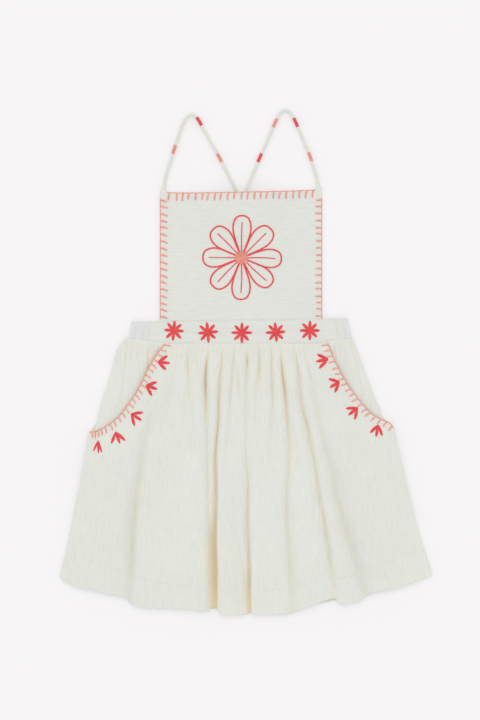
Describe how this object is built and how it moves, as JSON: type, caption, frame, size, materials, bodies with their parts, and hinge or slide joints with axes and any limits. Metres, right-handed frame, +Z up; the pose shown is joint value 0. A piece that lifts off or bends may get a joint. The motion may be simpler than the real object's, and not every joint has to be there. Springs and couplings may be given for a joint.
{
  "type": "dress",
  "caption": "Child's pinafore dress in off-white double gauze, laid flat: square bib, crossed cord straps, elastic-backed waistband, gathered skirt with curved hip pockets.",
  "frame": {"origin": "on the surface the dress lies on, under the centre front, half way between the hem and the bib's top edge", "axes": "+X to the right across the front as it is seen, +Y from the hem towards the straps, +Z up from the surface, out of the front"},
  "size_m": [0.4651, 0.6311, 0.0138],
  "materials": {
    "gauze": "off-white crinkled cotton double gauze, matte",
    "elastic_gauze": "off-white double gauze drawn into fine ribs over elastic, matte",
    "cord": "off-white turned cloth cord, matte"
  },
  "bodies": {
    "root": {"skirt_back": "gauze", "pocket_back_left": "gauze", "pocket_back_right": "gauze", "skirt_front": "gauze", "waistband_back": "elastic_gauze", "waistband_front": "gauze", "bib": "gauze", "strap_left": "cord", "strap_right": "cord"}
  },
  "joints": []
}
